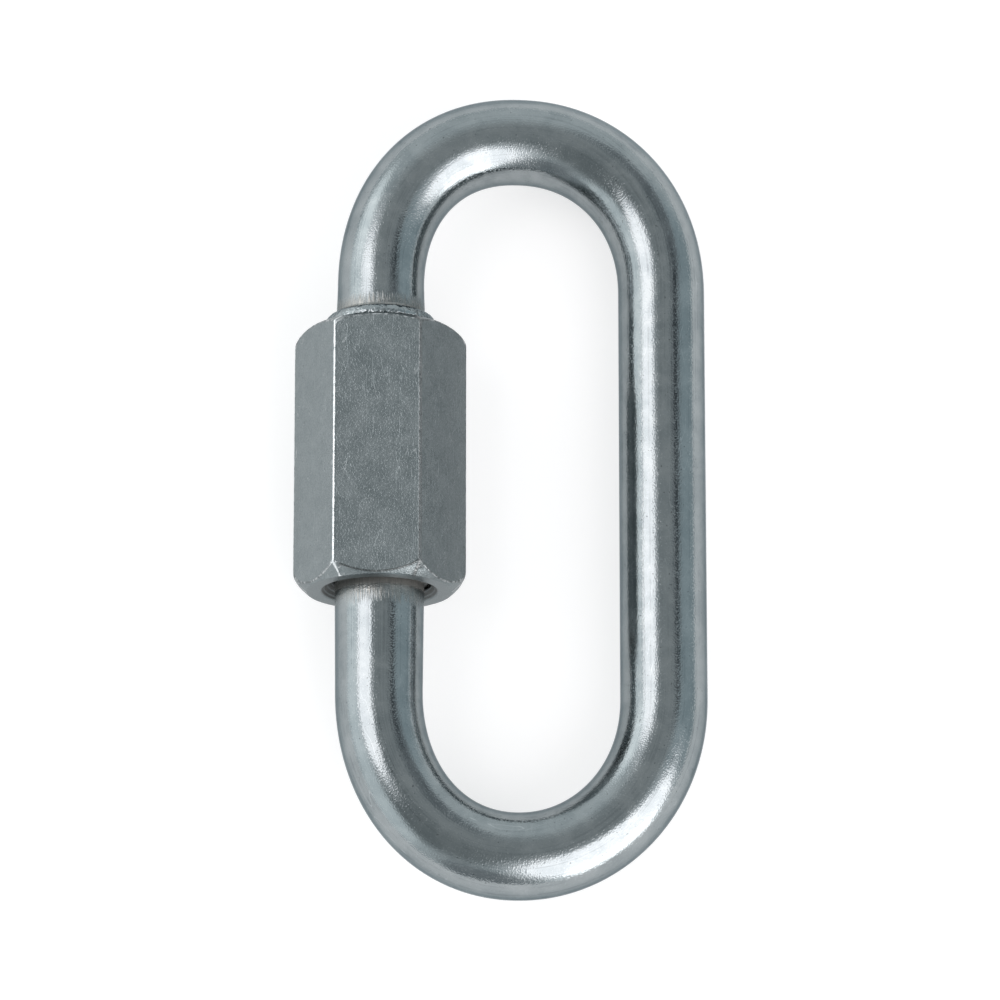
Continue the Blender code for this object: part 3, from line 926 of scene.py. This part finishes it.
def nut_finish(grain, scratches, drawn, wear):
    """Duller zinc on the machined nut, with fine scratches and worn edges, painted shade on some edges and
    arcs, and painted shade in its mouths and bore.
    """
    material, tree, shader = new_metal("zinc_plated_nut", (0.75, 0.76, 0.77))
    coordinates = add(tree, "ShaderNodeTexCoord").outputs["Object"]
    place, leaning = (
        add(
            tree,
            "ShaderNodeMapping",
            {"Vector": coordinates, "Rotation": rotation, "Scale": MM_PER_METRE},
        ).outputs[0]
        for rotation in ((0.0, 0.0, -math.pi / 2), (0.35, 0.0, -1.1))
    )
    edge, root, painted_edge_shade = (surface_value(tree, name) for name in ("edge", "root", "painted_edge_shade"))
    near_edge = ramp(tree, edge, 0.16, 0.0)
    zinc = placed(tree, grain, {"Place": place, "Cloud Size": 1.6, "Speckle Size": 0.15})
    clouds, speckle, sand, pits = zinc.outputs
    lines = placed(tree, drawn, {"Place": place, "Line Width": 0.1, "Line Length": 2.2}).outputs[0]
    sizes = {"Place": place, "Spacing": 0.6, "Stretch": 7.0, "Width": 0.014, "Share": 0.45}
    upright = placed(tree, scratches, sizes).outputs[0]
    sizes = {"Place": leaning, "Spacing": 0.9, "Stretch": 6.0, "Width": 0.007, "Share": 0.47}
    crossing = placed(tree, scratches, sizes).outputs[0]
    sizes = {"Edge Distance": edge, "Place": place, "Reach": 0.07, "Break Up": 3.8}
    worn = placed(tree, wear, sizes).outputs[0]
    # Painted shade darkens some edges and arcs, and bare wear shows less there
    wear_beside_edge_shade = maths(tree, "SUBTRACT", 0.8, product(tree, painted_edge_shade, 0.75))
    colour = layered(
        tree,
        blend_colour(tree, clouds, *NUT_ZINC),
        (ramp(tree, speckle, 0.35, 0.7), 0.16, PALE_FLECK),
        (ramp(tree, speckle, 0.5, 0.3), 0.16, DARK_FLECK),
        (pits, 0.5, PIT),
        (upright, 0.2, UPRIGHT_SCRATCH),
        (crossing, 0.42, CROSSING_SCRATCH),
        # painted shade on some edges and arcs, with less bare wear there
        (near_edge, painted_edge_shade, EDGE_SHADE_COLOUR),
        (worn, wear_beside_edge_shade, BARE_EDGE),
        # painted shade in the thread's root, the countersinks and the bore
        (root, 0.95, NUT_RECESS_SHADE),
    )
    rough = added(tree, 0.27, (clouds, 0.08), (lines, 0.08), (root, 0.15))
    nicks = product(tree, noise(tree, place, 0.25, 1.0), near_edge)
    height = added(tree, speckle, (upright, -0.5), (lines, 0.25), (sand, 0.3), (nicks, 2.2))
    join_up(tree, shader, colour, rough, product(tree, root, 0.9), height, NUT_BUMP)
    return material


# Studio

FLOOR_HALF_WIDTH = 3.0          # in metres
FLOOR_GAP = 0.02                # under the link, so that the nut's rest flat and the floor aren't one plane
FLOOR_GLOW = 0.6
LAMP_DISTANCE = 0.9             # in metres
LAMP_COLOUR = (1.0, 0.93, 0.93)
CAMERA_TILT = math.radians(15.4)    # from straight above, towards the lower bow
CAMERA_SIDE = math.radians(1.2)     # and towards the plain leg
CAMERA_TARGET = Vector((-0.02, -0.55, 5.44))
CAMERA_DISTANCE = 0.575         # in metres
CAMERA_LENS = 225.1


def pale_floor():
    """A pale sweep of paper. It takes the link's shadow and otherwise shows white."""
    mesh = bpy.data.meshes.new("floor")
    corners = ((-1, -1), (1, -1), (1, 1), (-1, 1))
    points = [(x * FLOOR_HALF_WIDTH, y * FLOOR_HALF_WIDTH, -FLOOR_GAP * MM) for x, y in corners]
    mesh.from_pydata(points, [], [(0, 1, 2, 3)])
    floor = bpy.data.objects.new("floor", mesh)
    bpy.context.scene.collection.objects.link(floor)
    material = bpy.data.materials.new("pale_paper")
    material.use_nodes = True
    tree = material.node_tree
    shader = tree.nodes["Principled BSDF"]
    shader.inputs["Base Color"].default_value = (0.5, 0.5, 0.5, 1.0)
    shader.inputs["Roughness"].default_value = 0.9
    shader.inputs["Specular IOR Level"].default_value = 0.0
    rays = add(tree, "ShaderNodeLightPath")
    seen = maths(tree, "MAXIMUM", rays.outputs["Is Camera Ray"], rays.outputs["Is Glossy Ray"])
    seen = maths(tree, "MAXIMUM", seen, rays.outputs["Is Transmission Ray"])
    glow = add(tree, "ShaderNodeEmission", {"Color": (1.0, 1.0, 1.0, 1.0)})
    tree.links.new(product(tree, seen, FLOOR_GLOW), glow.inputs["Strength"])
    both = add(tree, "ShaderNodeAddShader", {0: shader.outputs[0], 1: glow.outputs[0]})
    tree.links.new(both.outputs[0], tree.nodes["Material Output"].inputs["Surface"])
    spread_out(tree)
    mesh.materials.append(material)


def towards(azimuth, from_vertical):
    """Unit vector at an angle round from +X and an angle down from straight up, both in degrees."""
    turn, lean = math.radians(azimuth), math.radians(from_vertical)
    return Vector((math.cos(turn) * math.sin(lean), math.sin(turn) * math.sin(lean), math.cos(lean)))


def soft_lamp(name, azimuth, from_vertical, half_angle, brightness):
    """A round soft lamp that looks half_angle wide from the link, and equally bright all over."""
    radius = LAMP_DISTANCE * math.tan(math.radians(half_angle))
    lamp = bpy.data.lights.new(name, "AREA")
    lamp.shape = "DISK"
    lamp.size = 2 * radius
    lamp.energy = brightness * math.pi * math.pi * radius ** 2
    lamp.color = LAMP_COLOUR
    item = bpy.data.objects.new(name, lamp)
    direction = towards(azimuth, from_vertical)
    item.location = direction * LAMP_DISTANCE
    item.rotation_euler = direction.to_track_quat("Z", "Y").to_euler()
    item.visible_camera = False
    bpy.context.scene.collection.objects.link(item)


def studio_room():
    """Pale walls under a dimmer ceiling, with darker and brighter patches between the lamps."""
    world = bpy.data.worlds.new("studio")
    bpy.context.scene.world = world
    world.use_nodes = True
    tree = world.node_tree
    direction = vector_maths(tree, "NORMALIZE", add(tree, "ShaderNodeTexCoord").outputs["Generated"])
    height = sides_of(tree, direction)["Z"]
    colour = blend_colour(tree, ramp(tree, height, 0.6, 0.95), (0.88, 0.94, 0.96), (0.52, 0.55, 0.56))
    # Each patch, in degrees: round from +X, from straight up, where it starts to fade, where it ends.
    # Its tint comes last
    patches = (
        (222.0, 30.0, 14.0, 40.0, (0.36, 0.39, 0.40)),
        (262.0, 78.0, 10.0, 30.0, (0.40, 0.43, 0.45)),
        (12.0, 66.0, 16.0, 34.0, (0.56, 0.66, 0.70)),
        (40.0, 44.0, 6.0, 20.0, (0.30, 0.33, 0.35)),
        (25.0, 40.0, 1.5, 7.0, (0.06, 0.07, 0.08)),
        (204.0, 72.0, 10.0, 28.0, (1.28, 1.36, 1.38)),
        (168.0, 68.0, 12.0, 30.0, (1.55, 1.62, 1.64)),
        (163.0, 38.0, 14.0, 27.0, (1.35, 1.35, 1.37)),
        (143.0, 66.0, 6.0, 20.0, (2.1, 2.15, 2.15)),
        (317.0, 62.0, 28.0, 43.0, (1.45, 1.45, 1.47)),
        (315.0, 92.0, 10.0, 30.0, (3.0, 3.0, 3.0)),
    )
    for azimuth, from_vertical, inner, outer, tint in patches:
        facing = vector_maths(tree, "DOT_PRODUCT", direction, towards(azimuth, from_vertical))
        share = ramp(tree, facing, math.cos(math.radians(outer)), math.cos(math.radians(inner)))
        colour = blend_colour(tree, share, colour, tint)
    tree.links.new(colour, tree.nodes["Background"].inputs["Color"])
    spread_out(tree)


def photo_camera():
    """The photograph's viewpoint: above the link, leaning towards its lower bow."""
    away = math.cos(CAMERA_TILT)
    back = Vector((math.sin(CAMERA_SIDE) * away, -math.sin(CAMERA_TILT), math.cos(CAMERA_SIDE) * away))
    back.normalize()
    right = Vector((0.0, 1.0, 0.0)).cross(back).normalized()
    up = back.cross(right)
    lens = bpy.data.cameras.new("camera")
    lens.sensor_width = 36.0
    lens.lens = CAMERA_LENS
    lens.clip_start = 0.01
    camera = bpy.data.objects.new("camera", lens)
    turn = Matrix((right, up, back)).transposed().to_4x4()
    camera.matrix_world = Matrix.Translation(CAMERA_TARGET * MM + back * CAMERA_DISTANCE) @ turn
    bpy.context.scene.collection.objects.link(camera)
    bpy.context.scene.camera = camera


def dress_link():
    grain, scratches, drawn = zinc_grain_group(), scratches_group(), drawn_lines_group()
    thread_form = thread_form_group()
    rod = make_rod(rod_finish(grain, scratches, drawn), thread_form)
    nut = make_nut(nut_finish(grain, scratches, drawn, edge_wear_group()), thread_form)
    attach(rod, "link")
    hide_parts("bent_rod")
    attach(nut, "nut")
    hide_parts("sleeve_nut")


dress_link()
pale_floor()
soft_lamp("window_side_lamp", 165.0, 38.0, 17.5, 1.65)
soft_lamp("table_side_lamp", -43.0, 62.5, 31.0, 1.85)
studio_room()
photo_camera()
bpy.context.scene.view_settings.view_transform = "Standard"
